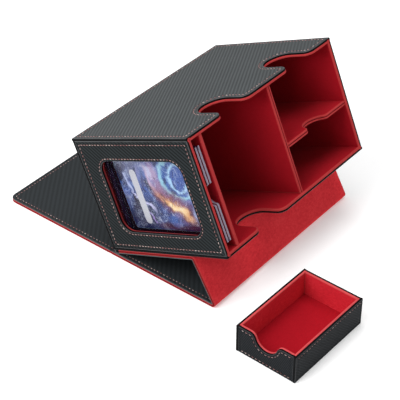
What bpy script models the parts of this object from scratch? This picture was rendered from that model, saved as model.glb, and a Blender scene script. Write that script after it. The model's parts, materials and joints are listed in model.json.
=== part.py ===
"""Card deck box standing on its own folded cover, with a display sleeve and a small tray.

Metres, +Z up. The origin is on the table, at the centre of the footprint. The open front of
the box faces -Y and its window end faces -X. The cover is a chain of four stiff panels: the
rear panel under the box, the brace, the front panel on the table and the flap behind it.
Leather is on one side of each panel and suede on the other.
"""
import math
from functools import partial

import bmesh
import bpy
from mathutils import Matrix

MM = 0.001
GAP = 0.3 * MM

# Box, outer sizes, and the angle at which it leans back on the brace
BOX_W = 175 * MM
BOX_D = 120 * MM
BOX_H = 96 * MM
TILT = math.radians(23.2)

# Box walls: a leather-wrapped board outside, a suede-covered liner inside
WALL_T = 2.2 * MM
SKIN_T = 0.7 * MM
LINER_T = 1.3 * MM
BOARD_INSET = SKIN_T + GAP
LINER_OFFSET = WALL_T + GAP
INSIDE = LINER_OFFSET + LINER_T
LINER_SETBACK = 0.4 * MM

# Dividers, measured from the window end
SLOT_DIVIDER = (13.5 * MM, 16.6 * MM)
CENTRE_DIVIDER = (92.7 * MM, 96.5 * MM)
DIVIDER_SETBACK = 0.8 * MM
SHELF_Z = (40.4 * MM, 44.2 * MM)

# Deep finger notches in the top and bottom walls
NOTCH_HALF = 13.2 * MM
NOTCH_DEPTH = 31.5 * MM
NOTCH_MOUTH_R = 6.5 * MM

# Shallow round notches: radius, depth of the circle's centre behind the edge, mouth radius
SHELF_NOTCH = (11.0 * MM, 0.0, 4.0 * MM)
TRAY_NOTCH = (10.0 * MM, 0.8 * MM, 5.0 * MM)
THUMB_NOTCH = (8.0 * MM, 0.0, 1.0 * MM)

# Window in the end wall: margins from the front, back, bottom and top of the box
WINDOW_FRONT = 16.0 * MM
WINDOW_BACK = 20.2 * MM
WINDOW_BOTTOM = 17.3 * MM
WINDOW_TOP = 18.7 * MM
WINDOW_R = 10.0 * MM
PANE_T = 0.4 * MM
PANE_OVERLAP = 4.0 * MM
WINDOW_LINER_T = 0.9 * MM

# Cover panels: leather, board and suede, with a gap between the layers
COVER_W = 174 * MM
COVER_SKIN_T = 0.6 * MM
COVER_BOARD_T = 1.4 * MM
COVER_T = 2 * COVER_SKIN_T + COVER_BOARD_T + 2 * GAP
HALF_T = COVER_T / 2
FOLD_R = HALF_T - GAP / 2
FRONT_FOLD_R = COVER_T - GAP
FLAP_L = 110.4 * MM
FLAP_CORNER_R = 6.0 * MM
COVER_CORNER_R = 1.5 * MM
COVER_SUEDE_INSET = 0.6 * MM

# Distances between the fold axes. Shut, the cover wraps the bottom and front of the box.
REAR_PANEL_PITCH = 82 * MM
BRACE_PITCH = BOX_D + GAP - REAR_PANEL_PITCH
FRONT_PANEL_PITCH = BOX_H + 2 * (GAP + HALF_T)

# Closure magnets
MAGNET_R = 5.0 * MM
MAGNET_X = 45 * MM
MAGNET_FROM_FLAP_END = 14 * MM
MAGNET_CLEARANCE = 0.1 * MM

# Display sleeve and card, seen in the window slot
SLEEVE_X = (6.3 * MM, 10.9 * MM)
SLEEVE_L = 101 * MM
SLEEVE_H = 75 * MM
SLEEVE_SETBACK = 1.2 * MM
SLEEVE_SHEET_T = 1.0 * MM
SLEEVE_WELD_W = 3.0 * MM
CARD_FROM_MOUTH = 4.8 * MM
CARD_L = 88 * MM
CARD_H = 63 * MM
CARD_T = 0.6 * MM
CARD_CORNER_R = 3.0 * MM

# Tray on the table in front of the box, turned a little
TRAY_L = 80.5 * MM
TRAY_W = 52.6 * MM
TRAY_H = 23.8 * MM
TRAY_AT = (-72.5 * MM, -164.2 * MM)
TRAY_TURN = math.radians(-1.44)
TRAY_SKIN_T = 0.7 * MM
TRAY_CARTON_T = 1.2 * MM
TRAY_WALL_LINING_T = 1.1 * MM
TRAY_FLOOR_LINING_T = 0.9 * MM

# Small rounds on the rims of the sheets, and the angle from which an edge is sharp
SKIN_ROUND = 0.35 * MM
LINER_ROUND = 0.25 * MM
WRAP_ROUND = 0.3 * MM
LEAF_ROUND = 0.4 * MM
SHARP_ANGLE = math.radians(40)

# How far a cutter stands above the rim that it opens
CUT_MARGIN = 4 * MM

# Steps along the round stretches of an outline
MOUTH_STEPS = 5
NOTCH_STEPS = 14
CORNER_STEPS = 5
ROLL_SIDES = 18

LEATHER = ("leather", (0.045, 0.05, 0.055), 0.55, 0.0, 1.0)
SUEDE = ("suede", (0.48, 0.02, 0.03), 0.95, 0.0, 1.0)
BOARD = ("board", (0.45, 0.36, 0.26), 0.9, 0.0, 1.0)
CLEAR = ("clear_sheet", (0.86, 0.9, 0.95), 0.1, 0.0, 0.25)
CARD = ("card", (0.35, 0.4, 0.7), 0.4, 0.0, 1.0)
STEEL = ("magnet", (0.6, 0.6, 0.62), 0.3, 1.0, 1.0)

# How an outline's u, v and thickness directions lie in the parent's frame
FLAT = Matrix.Identity(4)
UPRIGHT_YZ = Matrix(((0, 0, 1, 0), (1, 0, 0, 0), (0, 1, 0, 0), (0, 0, 0, 1)))
UPRIGHT_XZ = Matrix(((1, 0, 0, 0), (0, 0, -1, 0), (0, 1, 0, 0), (0, 0, 0, 1)))
HANGING_YZ = Matrix(((0, 0, -1, 0), (1, 0, 0, 0), (0, -1, 0, 0), (0, 0, 0, 1)))


# ---------------------------------------------------------------- scene and materials

def clear_scene():
    for old in list(bpy.data.objects):
        bpy.data.objects.remove(old, do_unlink=True)


def new_collection(name):
    collection = bpy.data.collections.new(name)
    bpy.context.scene.collection.children.link(collection)
    return collection


def material(name, colour, roughness, metallic, alpha):
    """One Principled material for a sub-part."""
    mat = bpy.data.materials.new(name)
    mat.use_nodes = True
    shader = mat.node_tree.nodes["Principled BSDF"]
    shader.inputs["Base Color"].default_value = (*colour, 1.0)
    shader.inputs["Roughness"].default_value = roughness
    shader.inputs["Metallic"].default_value = metallic
    shader.inputs["Alpha"].default_value = alpha
    mat.diffuse_color = (*colour, alpha)
    return mat


def empty(name, parent=None, location=(0, 0, 0), turn_x=0.0, turn_z=0.0):
    """A parent for the pieces of one body, placed on its joint's axis."""
    guide = bpy.data.objects.new(name, None)
    guide.empty_display_size = 0.01
    guide.parent = parent
    guide.location = location
    guide.rotation_euler = (turn_x, 0, turn_z)
    PARTS.objects.link(guide)
    return guide


def add_object(name, mesh, parent, finish):
    """A piece in the parts collection, with a material of its own."""
    piece = bpy.data.objects.new(name, mesh)
    piece.parent = parent
    mesh.materials.append(material(name + "_" + finish[0], *finish[1:]))
    PARTS.objects.link(piece)
    return piece


def add_cutter(name, mesh, parent):
    cutter = bpy.data.objects.new(name, mesh)
    cutter.parent = parent
    cutter.hide_render = True
    cutter.display_type = "WIRE"
    CUTTERS.objects.link(cutter)
    return cutter


def cut(piece, cutter):
    boolean = piece.modifiers.new("cut_" + cutter.name, "BOOLEAN")
    boolean.operation = "DIFFERENCE"
    boolean.solver = "EXACT"
    boolean.object = cutter


def soften(piece, width):
    """Small round on the rims of a sheet."""
    bevel = piece.modifiers.new("soft_edge", "BEVEL")
    bevel.width = width
    bevel.segments = 2
    bevel.limit_method = "ANGLE"
    bevel.angle_limit = SHARP_ANGLE


# ---------------------------------------------------------------- outlines

def arc(centre, radius, start, end, steps):
    """Points along an arc, angles in degrees, both ends included."""
    angles = [math.radians(start + (end - start) * i / steps) for i in range(steps + 1)]
    return [(centre[0] + radius * math.cos(a), centre[1] + radius * math.sin(a)) for a in angles]


def deep_notch(centre_u, edge, inset):
    """U-shaped finger notch with rounded mouth corners, drawn from left to right."""
    half = NOTCH_HALF + inset
    mouth = NOTCH_MOUTH_R - inset
    bottom = (centre_u, edge - inset + NOTCH_DEPTH - NOTCH_HALF)
    left = (centre_u - half - mouth, edge + mouth)
    right = (centre_u + half + mouth, edge + mouth)
    return (arc(left, mouth, -90, 0, MOUTH_STEPS)
            + arc(bottom, half, 180, 0, NOTCH_STEPS)
            + arc(right, mouth, 180, 270, MOUTH_STEPS))


def round_notch(centre_u, sizes, edge, inset):
    """Shallow round notch whose mouth corners blend into the edge, from left to right."""
    radius, sink, mouth = sizes[0] + inset, sizes[1], sizes[2] - inset
    centre_v = edge - inset + sink
    rise = edge + mouth - centre_v
    run = math.sqrt((radius + mouth) ** 2 - rise ** 2)
    lean = math.degrees(math.atan2(rise, run))
    return (arc((centre_u - run, edge + mouth), mouth, -90, -lean, MOUTH_STEPS)
            + arc((centre_u, centre_v), radius, 180 - lean, lean, NOTCH_STEPS)
            + arc((centre_u + run, edge + mouth), mouth, 180 + lean, 270, MOUTH_STEPS))


def panel(u0, v0, u1, v1, inset=0.0, notches=()):
    """Rectangle drawn anticlockwise; the notches cut its low-v edge."""
    edge = v0 + inset
    points = [(u0 + inset, edge)]
    for notch in notches:
        points += notch(edge, inset)
    return points + [(u1 - inset, edge), (u1 - inset, v1 - inset), (u0 + inset, v1 - inset)]


def rounded(u0, v0, u1, v1, radius, grow=0.0):
    """Rectangle with round corners, grown outwards by grow."""
    r = radius + grow
    low_u, high_u = u0 - grow + r, u1 + grow - r
    low_v, high_v = v0 - grow + r, v1 + grow - r
    return (arc((low_u, low_v), r, 180, 270, CORNER_STEPS)
            + arc((high_u, low_v), r, 270, 360, CORNER_STEPS)
            + arc((high_u, high_v), r, 0, 90, CORNER_STEPS)
            + arc((low_u, high_v), r, 90, 180, CORNER_STEPS))


def circle(centre, radius):
    return arc(centre, radius, 0, 330, 11)


# ---------------------------------------------------------------- solids

def sheet_mesh(name, outline, low, high, lie, holes=()):
    """Closed mesh of a filled outline, from low to high along its thickness."""
    curve = bpy.data.curves.new(name, "CURVE")
    curve.dimensions = "2D"
    curve.fill_mode = "BOTH"
    curve.extrude = (high - low) / 2
    for loop in (outline, *holes):
        spline = curve.splines.new("POLY")
        spline.points.add(len(loop) - 1)
        for point, (u, v) in zip(spline.points, loop):
            point.co = (u, v, 0, 1)
        spline.use_cyclic_u = True
    drawn = bpy.data.objects.new(name + "_outline", curve)
    bpy.context.scene.collection.objects.link(drawn)
    bpy.context.view_layer.update()
    graph = bpy.context.evaluated_depsgraph_get()
    mesh = bpy.data.meshes.new_from_object(drawn.evaluated_get(graph))
    bpy.data.objects.remove(drawn, do_unlink=True)
    mesh.name = name
    shape = bmesh.new()
    shape.from_mesh(mesh)
    bmesh.ops.remove_doubles(shape, verts=shape.verts, dist=0.000001)
    bmesh.ops.recalc_face_normals(shape, faces=shape.faces)
    shape.to_mesh(mesh)
    shape.free()
    mesh.transform(lie @ Matrix.Translation((0, 0, (low + high) / 2)))
    return mesh


def block_mesh(name, low, high):
    """Box between two corners."""
    shape = bmesh.new()
    bmesh.ops.create_cube(shape, size=1.0)
    size = [b - a for a, b in zip(low, high)]
    middle = [(a + b) / 2 for a, b in zip(low, high)]
    bmesh.ops.scale(shape, vec=size, verts=shape.verts)
    bmesh.ops.translate(shape, vec=middle, verts=shape.verts)
    mesh = bpy.data.meshes.new(name)
    shape.to_mesh(mesh)
    shape.free()
    return mesh


def rod(name, radius, length, place, parent, finish):
    """Closed cylinder, smooth round its side, centred on and pointing along place's Z."""
    shape = bmesh.new()
    bmesh.ops.create_cone(shape, cap_ends=True, segments=ROLL_SIDES, radius1=radius,
                          radius2=radius, depth=length, matrix=place)
    mesh = bpy.data.meshes.new(name)
    shape.to_mesh(mesh)
    shape.free()
    mesh.shade_smooth()
    mesh.set_sharp_from_angle(angle=SHARP_ANGLE)
    return add_object(name, mesh, parent, finish)


def roll(name, radius, centre, parent, finish):
    """Soft round fold that runs along X."""
    place = Matrix.Translation((0, *centre)) @ Matrix.Rotation(math.pi / 2, 4, "Y")
    return rod(name, radius, COVER_W, place, parent, finish)


def magnet_pair(name, centres, low, high, parent):
    """Two round magnets standing between low and high."""
    for side, (x, y) in zip(("_left", "_right"), centres):
        place = Matrix.Translation((x, y, (low + high) / 2))
        rod(name + side, MAGNET_R, high - low, place, parent, STEEL)


# ---------------------------------------------------------------- box

def wrapped_wall(name, parent, outline, holes, low, high, lie, outside_high):
    """Leather skin folded round a board: a shallow pan with the board in it.

    outline and holes are functions of an inset from the wall's edges."""
    skin = add_object(name + "_skin", sheet_mesh(name + "_skin", outline(0.0), low, high, lie,
                                                 holes(0.0)), parent, LEATHER)
    soften(skin, SKIN_ROUND)
    if outside_high:
        pocket, board = (low - WALL_T, high - SKIN_T), (low, high - BOARD_INSET)
    else:
        pocket, board = (low + SKIN_T, high + WALL_T), (low + BOARD_INSET, high)
    cutter = sheet_mesh(name + "_pocket", outline(SKIN_T), *pocket, lie, holes(SKIN_T))
    cut(skin, add_cutter(name + "_pocket", cutter, parent))
    return board


def board_in(name, parent, outline, holes, span, lie):
    mesh = sheet_mesh(name + "_board", outline(BOARD_INSET), *span, lie, holes(BOARD_INSET))
    return add_object(name + "_board", mesh, parent, BOARD)


def no_holes(inset):
    return ()


def window_loop(grow):
    """Window outline in the end wall's plane."""
    return rounded(-BOX_D + WINDOW_FRONT, WINDOW_BOTTOM, -WINDOW_BACK, BOX_H - WINDOW_TOP,
                   WINDOW_R, grow)


def from_window_end(distance):
    """Box x of a distance measured from the outside of the window end."""
    return distance - BOX_W / 2


LEFT_BAY_X = from_window_end((SLOT_DIVIDER[1] + CENTRE_DIVIDER[0]) / 2)
RIGHT_BAY_X = from_window_end((CENTRE_DIVIDER[1] + BOX_W - INSIDE) / 2)


def build_walls(box):
    """Five leather-wrapped walls. Box frame: back at y = 0, front at y = -BOX_D."""
    half_w = BOX_W / 2
    left_notch = partial(deep_notch, LEFT_BAY_X)
    right_notch = partial(deep_notch, RIGHT_BAY_X)

    def lid(notches):
        return lambda inset: panel(-half_w, -BOX_D, half_w, 0, inset, notches)

    def magnet_holes(inset):
        return [circle(centre, MAGNET_R + GAP) for centre in top_magnet_places()]

    board = wrapped_wall("top_wall", box, lid((left_notch, right_notch)), no_holes,
                         BOX_H - WALL_T, BOX_H, FLAT, True)
    board_in("top_wall", box, lid((left_notch, right_notch)), magnet_holes, board, FLAT)
    board = wrapped_wall("bottom_wall", box, lid((left_notch,)), no_holes, 0, WALL_T, FLAT, False)
    board_in("bottom_wall", box, lid((left_notch,)), no_holes, board, FLAT)

    low, high = LINER_OFFSET, BOX_H - LINER_OFFSET
    back = partial(panel, -half_w, low, half_w, high)
    board = wrapped_wall("back_wall", box, back, no_holes, 0, WALL_T, UPRIGHT_XZ, False)
    board_in("back_wall", box, back, no_holes, board, UPRIGHT_XZ)

    end = partial(panel, -BOX_D, low, -LINER_OFFSET, high)
    board = wrapped_wall("window_end", box, end, lambda inset: [window_loop(inset)],
                         -half_w, -half_w + WALL_T, UPRIGHT_YZ, False)
    board_in("window_end", box, end, lambda inset: [window_loop(inset)], board, UPRIGHT_YZ)
    board = wrapped_wall("plain_end", box, end, no_holes, half_w - WALL_T, half_w,
                         UPRIGHT_YZ, True)
    board_in("plain_end", box, end, no_holes, board, UPRIGHT_YZ)


def top_magnet_places():
    """Where the flap's magnets land on the top wall when the cover is shut."""
    reach = FLAP_L - MAGNET_FROM_FLAP_END - HALF_T
    return [(side * MAGNET_X, -BOX_D + reach) for side in (-1, 1)]


def build_linings(box):
    """Suede liners inside the walls, the window pane and the closure's plates."""
    half_w = BOX_W / 2
    front = -BOX_D + LINER_SETBACK
    side = half_w - LINER_OFFSET
    left_notch = partial(deep_notch, LEFT_BAY_X)
    right_notch = partial(deep_notch, RIGHT_BAY_X)

    def liner(name, outline, low, high, lie, holes=()):
        mesh = sheet_mesh(name, outline, low, high, lie, holes)
        soften(add_object(name, mesh, box, SUEDE), LINER_ROUND)

    def floor(notches):
        return panel(-side - LINER_SETBACK, -BOX_D, side + LINER_SETBACK,
                     -LINER_OFFSET + LINER_SETBACK, LINER_SETBACK, notches)

    liner("top_lining", floor((left_notch, right_notch)), BOX_H - INSIDE,
          BOX_H - LINER_OFFSET, FLAT)
    liner("bottom_lining", floor((left_notch,)), LINER_OFFSET, INSIDE, FLAT)
    low, high = INSIDE + GAP, BOX_H - INSIDE - GAP
    liner("back_lining", panel(-side, low, side, high), LINER_OFFSET, INSIDE, UPRIGHT_XZ)
    end = panel(front, low, -INSIDE - GAP, high)
    pane_x = -half_w + LINER_OFFSET
    liner_x = pane_x + PANE_T + GAP
    liner("window_end_lining", end, liner_x, liner_x + WINDOW_LINER_T, UPRIGHT_YZ,
          [window_loop(0.0)])
    liner("plain_end_lining", end, half_w - INSIDE, half_w - LINER_OFFSET, UPRIGHT_YZ)
    pane = sheet_mesh("window_pane", window_loop(PANE_OVERLAP), pane_x, pane_x + PANE_T,
                      UPRIGHT_YZ)
    add_object("window_pane", pane, box, CLEAR)
    magnet_pair("top_magnet", top_magnet_places(), BOX_H - WALL_T + MAGNET_CLEARANCE,
                BOX_H - BOARD_INSET - MAGNET_CLEARANCE, box)


def build_dividers(box):
    """Slot divider with its own board, the double centre divider and the double shelf."""
    front = -BOX_D + DIVIDER_SETBACK
    back = -INSIDE - GAP
    low, high = INSIDE + GAP, BOX_H - INSIDE - GAP
    x0, x1 = (from_window_end(d) for d in SLOT_DIVIDER)
    wrap = add_object("slot_divider_suede", block_mesh("slot_divider_suede", (x0, front, low),
                                                       (x1, back, high)), box, SUEDE)
    soften(wrap, WRAP_ROUND)
    hollow = block_mesh("slot_divider_hollow", (x0 + SKIN_T, front + SKIN_T, low - GAP),
                        (x1 - SKIN_T, back + GAP, high + GAP))
    cut(wrap, add_cutter("slot_divider_hollow", hollow, box))
    core = block_mesh("slot_divider_board", (x0 + BOARD_INSET, front + BOARD_INSET, low),
                      (x1 - BOARD_INSET, back, high))
    add_object("slot_divider_board", core, box, BOARD)

    x0, x1 = (from_window_end(d) for d in CENTRE_DIVIDER)
    middle = (x0 + x1) / 2
    for name, a, b in (("centre_divider_left", x0, middle - GAP / 2),
                       ("centre_divider_right", middle + GAP / 2, x1)):
        leaf = add_object(name, block_mesh(name, (a, front, low), (b, back, high)), box, SUEDE)
        soften(leaf, LEAF_ROUND)

    shelf = panel(x1 + GAP, front, BOX_W / 2 - INSIDE - GAP, back, 0.0,
                  (partial(round_notch, RIGHT_BAY_X, SHELF_NOTCH),))
    middle = sum(SHELF_Z) / 2
    for name, a, b in (("shelf_lower", SHELF_Z[0], middle - GAP / 2),
                       ("shelf_upper", middle + GAP / 2, SHELF_Z[1])):
        leaf = add_object(name, sheet_mesh(name, shelf, a, b, FLAT), box, SUEDE)
        soften(leaf, LEAF_ROUND)


# ---------------------------------------------------------------- cover

def cover_panel(name, parent, y0, y1, mid_z, leather_up, free_end=False, magnets=()):
    """Leather, board and suede of one stiff cover panel, each a sheet of its own."""
    half_w = COVER_W / 2
    far_r = FLAP_CORNER_R if free_end else COVER_CORNER_R

    def layer(suffix, low, high, inset, finish, holes=()):
        corners = (arc((-half_w + COVER_CORNER_R, y0 + COVER_CORNER_R),
                       COVER_CORNER_R - inset, 180, 270, CORNER_STEPS)
                   + arc((half_w - COVER_CORNER_R, y0 + COVER_CORNER_R),
                         COVER_CORNER_R - inset, 270, 360, CORNER_STEPS)
                   + arc((half_w - far_r, y1 - far_r), far_r - inset, 0, 90, CORNER_STEPS)
                   + arc((-half_w + far_r, y1 - far_r), far_r - inset, 90, 180, CORNER_STEPS))
        if not leather_up:
            low, high = -high, -low
        mesh = sheet_mesh(name + suffix, corners, mid_z + low, mid_z + high, FLAT, holes)
        return add_object(name + suffix, mesh, parent, finish)

    board_half = COVER_BOARD_T / 2
    layer("_skin", HALF_T - COVER_SKIN_T, HALF_T, 0.0, LEATHER)
    layer("_board", -board_half, board_half, BOARD_INSET, BOARD,
          [circle(centre, MAGNET_R + GAP) for centre in magnets])
    layer("_suede", -HALF_T, -HALF_T + COVER_SKIN_T, COVER_SUEDE_INSET, SUEDE)


def build_cover(root, brace, rear, flap, front_axis_y, crease_y):
    """The four panels and the soft folds between them."""
    cover_panel("front_panel", root, front_axis_y + FRONT_FOLD_R + GAP,
                crease_y - FOLD_R - GAP, HALF_T, True)
    roll("front_fold", FRONT_FOLD_R, (front_axis_y, COVER_T + GAP / 2), root, SUEDE)
    roll("flap_fold", FOLD_R, (crease_y, HALF_T), root, LEATHER)

    brace_mid = HALF_T + GAP / 2
    cover_panel("brace", brace, FRONT_FOLD_R + GAP, BRACE_PITCH - FOLD_R - GAP, brace_mid, False)
    roll("brace_fold", FOLD_R, (BRACE_PITCH, brace_mid), brace, SUEDE)

    cover_panel("rear_panel", rear, FOLD_R + GAP, REAR_PANEL_PITCH - FOLD_R - GAP, 0.0, False)
    roll("rear_fold", FOLD_R, (REAR_PANEL_PITCH, 0.0), rear, LEATHER)

    magnets = [(side * MAGNET_X, FLAP_L - MAGNET_FROM_FLAP_END) for side in (-1, 1)]
    cover_panel("flap", flap, FOLD_R + GAP, FLAP_L, 0.0, True, True, magnets)
    magnet_pair("flap_magnet", magnets, -COVER_BOARD_T / 2 + MAGNET_CLEARANCE,
                COVER_BOARD_T / 2 - MAGNET_CLEARANCE, flap)


# ---------------------------------------------------------------- sleeve and card

def build_sleeve(sleeve, card):
    """Rigid clear pocket for one card, open at the front, and the card in it.

    Both frames have their origin at the front of the sleeve, half way up its height."""
    half_h = SLEEVE_H / 2
    x0, x1 = (from_window_end(d) for d in SLEEVE_X)
    thumb = partial(round_notch, 0.0, THUMB_NOTCH)
    face = [(y, z) for z, y in panel(-half_h, 0, half_h, SLEEVE_L, 0.0, (thumb,))]
    for name, a, b in (("sleeve_outer_sheet", x0, x0 + SLEEVE_SHEET_T),
                       ("sleeve_inner_sheet", x1 - SLEEVE_SHEET_T, x1)):
        add_object(name, sheet_mesh(name, face, a, b, UPRIGHT_YZ), sleeve, CLEAR)
    inner_h = half_h - SLEEVE_WELD_W
    inner_l = SLEEVE_L - SLEEVE_WELD_W
    weld = [(0, -half_h), (SLEEVE_L, -half_h), (SLEEVE_L, half_h), (0, half_h),
            (0, inner_h), (inner_l, inner_h), (inner_l, -inner_h), (0, -inner_h)]
    mesh = sheet_mesh("sleeve_edge_weld", weld, x0 + SLEEVE_SHEET_T + GAP,
                      x1 - SLEEVE_SHEET_T - GAP, UPRIGHT_YZ)
    add_object("sleeve_edge_weld", mesh, sleeve, CLEAR)

    middle = (x0 + x1) / 2
    outline = rounded(CARD_FROM_MOUTH, -CARD_H / 2, CARD_FROM_MOUTH + CARD_L, CARD_H / 2,
                      CARD_CORNER_R)
    mesh = sheet_mesh("display_card", outline, middle - CARD_T / 2, middle + CARD_T / 2,
                      UPRIGHT_YZ)
    add_object("display_card", mesh, card, CARD)


# ---------------------------------------------------------------- tray

def tray_notch_cutter(name, tray, x0, x1, inset):
    """Prism with the notch's outline, open above the rim, between two x positions."""
    outline = round_notch(0.0, TRAY_NOTCH, inset, inset)
    outline = [(outline[0][0], -CUT_MARGIN)] + outline + [(outline[-1][0], -CUT_MARGIN)]
    lie = Matrix.Translation((0, 0, TRAY_H)) @ HANGING_YZ
    return add_cutter(name, sheet_mesh(name, outline, -x1, -x0, lie), tray)


def build_tray(tray):
    """Open tray: carton core, leather outside, suede inside, a finger notch at one end."""
    half_l, half_w = TRAY_L / 2, TRAY_W / 2
    core_l = half_l - TRAY_SKIN_T - GAP
    core_w = half_w - TRAY_SKIN_T - GAP
    core_z = TRAY_SKIN_T + GAP
    inner_l, inner_w = core_l - TRAY_CARTON_T, core_w - TRAY_CARTON_T
    floor_z = core_z + TRAY_CARTON_T

    carton = add_object("tray_carton", block_mesh("tray_carton", (-core_l, -core_w, core_z),
                                                  (core_l, core_w, TRAY_H - GAP)), tray, BOARD)
    hollow = block_mesh("tray_hollow", (-inner_l, -inner_w, floor_z),
                        (inner_l, inner_w, 2 * TRAY_H))
    cut(carton, add_cutter("tray_hollow", hollow, tray))
    cut(carton, tray_notch_cutter("tray_carton_notch", tray, -half_l, -inner_l + GAP, GAP))

    def wall(name, low, high, finish, notched=False):
        piece = add_object(name, block_mesh(name, low, high), tray, finish)
        if notched:
            cut(piece, tray_notch_cutter(name + "_notch", tray, low[0] - GAP, high[0] + GAP, 0.0))
        return piece

    for name, side in (("tray_front_skin", -1), ("tray_back_skin", 1)):
        inner, outer = sorted((side * (half_w - TRAY_SKIN_T), side * half_w))
        wall(name, (-half_l, inner, 0), (half_l, outer, TRAY_H), LEATHER)
    for name, side in (("tray_notch_end_skin", -1), ("tray_plain_end_skin", 1)):
        inner, outer = sorted((side * (half_l - TRAY_SKIN_T), side * half_l))
        wall(name, (inner, -core_w, 0), (outer, core_w, TRAY_H), LEATHER, side < 0)
    wall("tray_base_skin", (-core_l, -core_w, 0), (core_l, core_w, TRAY_SKIN_T), LEATHER)

    lining_l, lining_w = inner_l - GAP, inner_w - GAP
    low_z = floor_z + GAP
    clear_l, clear_w = lining_l - TRAY_WALL_LINING_T, lining_w - TRAY_WALL_LINING_T
    for name, side in (("tray_front_lining", -1), ("tray_back_lining", 1)):
        inner, outer = sorted((side * clear_w, side * lining_w))
        wall(name, (-lining_l, inner, low_z), (lining_l, outer, TRAY_H), SUEDE)
    for name, side in (("tray_notch_end_lining", -1), ("tray_plain_end_lining", 1)):
        inner, outer = sorted((side * clear_l, side * lining_l))
        wall(name, (inner, -clear_w + GAP, low_z), (outer, clear_w - GAP, TRAY_H), SUEDE,
             side < 0)
    wall("tray_floor_lining", (-clear_l + GAP, -clear_w + GAP, low_z),
         (clear_l - GAP, clear_w - GAP, low_z + TRAY_FLOOR_LINING_T), SUEDE)


# ---------------------------------------------------------------- assembly

def footprint_centre(flap_end_y):
    """Centre of the box round everything: the tray's corners, the box's end and the flap."""
    corners = [(TRAY_AT[0] + u * math.cos(TRAY_TURN) - v * math.sin(TRAY_TURN),
                TRAY_AT[1] + u * math.sin(TRAY_TURN) + v * math.cos(TRAY_TURN))
               for u in (-TRAY_L / 2, TRAY_L / 2) for v in (-TRAY_W / 2, TRAY_W / 2)]
    low_x, low_y = (min(c[i] for c in corners) for i in (0, 1))
    return (low_x + BOX_W / 2) / 2, (low_y + flap_end_y) / 2


def main():
    lean = (math.cos(TILT), math.sin(TILT))
    # The box's bottom back corner stands at y = 0; its fold axis is under it.
    corner_up = GAP + HALF_T
    rear_axis = (-HALF_T * lean[0] - corner_up * lean[1], COVER_T + GAP + HALF_T)
    brace_axis = (rear_axis[0] - REAR_PANEL_PITCH * lean[0],
                  rear_axis[1] + REAR_PANEL_PITCH * lean[1])
    brace_mid = HALF_T + GAP / 2
    front_axis_z = COVER_T + GAP / 2
    reach = math.hypot(BRACE_PITCH, brace_mid)
    rise = brace_axis[1] - front_axis_z
    front_axis_y = brace_axis[0] - math.sqrt(reach ** 2 - rise ** 2)
    brace_angle = (math.atan2(rise, brace_axis[0] - front_axis_y)
                   - math.atan2(brace_mid, BRACE_PITCH))
    crease_y = front_axis_y + FRONT_PANEL_PITCH

    centre = footprint_centre(crease_y + FLAP_L)
    root = empty("deck_box", None, (-centre[0], -centre[1], 0))
    brace = empty("brace_axis", root, (0, front_axis_y, front_axis_z), brace_angle)
    rear = empty("rear_panel_axis", brace, (0, BRACE_PITCH, brace_mid), -TILT - brace_angle)
    hinge = empty("box_axis", rear, (0, REAR_PANEL_PITCH, 0))
    box = empty("box_corner", hinge, (0, HALF_T, corner_up))
    flap = empty("flap_axis", root, (0, crease_y, HALF_T))
    sleeve = empty("sleeve_guide", box, (0, -BOX_D + SLEEVE_SETBACK, BOX_H / 2))
    card = empty("card_guide", sleeve)
    tray = empty("tray_guide", root, (*TRAY_AT, 0), 0.0, TRAY_TURN)

    build_walls(box)
    build_linings(box)
    build_dividers(box)
    build_cover(root, brace, rear, flap, front_axis_y, crease_y)
    build_sleeve(sleeve, card)
    build_tray(tray)
    bpy.context.view_layer.update()


clear_scene()
PARTS = new_collection("card_deck_box")
CUTTERS = new_collection("cutters")
main()
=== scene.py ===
"""Looks of the card deck box: leather and suede panels, folded cover, stitching, sleeve and tray.

Sheets are built flat in their own frame, u to the right, v away and w out of the face, and then
laid in place. A constant that describes a sheet holds its low face, high face and edge radius.
Everything is in metres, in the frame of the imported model.
"""
import json
import math

import bmesh
import bpy
from mathutils import Matrix, Vector
from mathutils.geometry import tessellate_polygon


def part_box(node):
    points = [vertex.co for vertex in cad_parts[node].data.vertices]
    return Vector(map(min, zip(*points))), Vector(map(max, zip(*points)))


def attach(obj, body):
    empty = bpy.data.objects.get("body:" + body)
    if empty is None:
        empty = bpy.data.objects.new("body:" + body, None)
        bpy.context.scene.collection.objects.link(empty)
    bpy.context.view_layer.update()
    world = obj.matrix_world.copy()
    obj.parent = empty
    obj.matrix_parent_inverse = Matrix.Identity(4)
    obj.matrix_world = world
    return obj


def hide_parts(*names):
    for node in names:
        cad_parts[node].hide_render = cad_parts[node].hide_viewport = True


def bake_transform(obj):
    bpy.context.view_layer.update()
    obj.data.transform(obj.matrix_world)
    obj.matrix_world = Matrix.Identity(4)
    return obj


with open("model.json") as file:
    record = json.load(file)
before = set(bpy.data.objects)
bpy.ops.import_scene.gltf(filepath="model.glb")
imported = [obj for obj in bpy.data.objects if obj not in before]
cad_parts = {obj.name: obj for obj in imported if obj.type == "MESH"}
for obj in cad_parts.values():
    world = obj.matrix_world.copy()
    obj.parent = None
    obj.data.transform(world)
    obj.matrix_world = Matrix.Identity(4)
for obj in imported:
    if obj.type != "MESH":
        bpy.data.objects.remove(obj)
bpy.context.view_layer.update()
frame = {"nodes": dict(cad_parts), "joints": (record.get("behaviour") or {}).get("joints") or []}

MM = 0.001
GAP = 0.3 * MM

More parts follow.
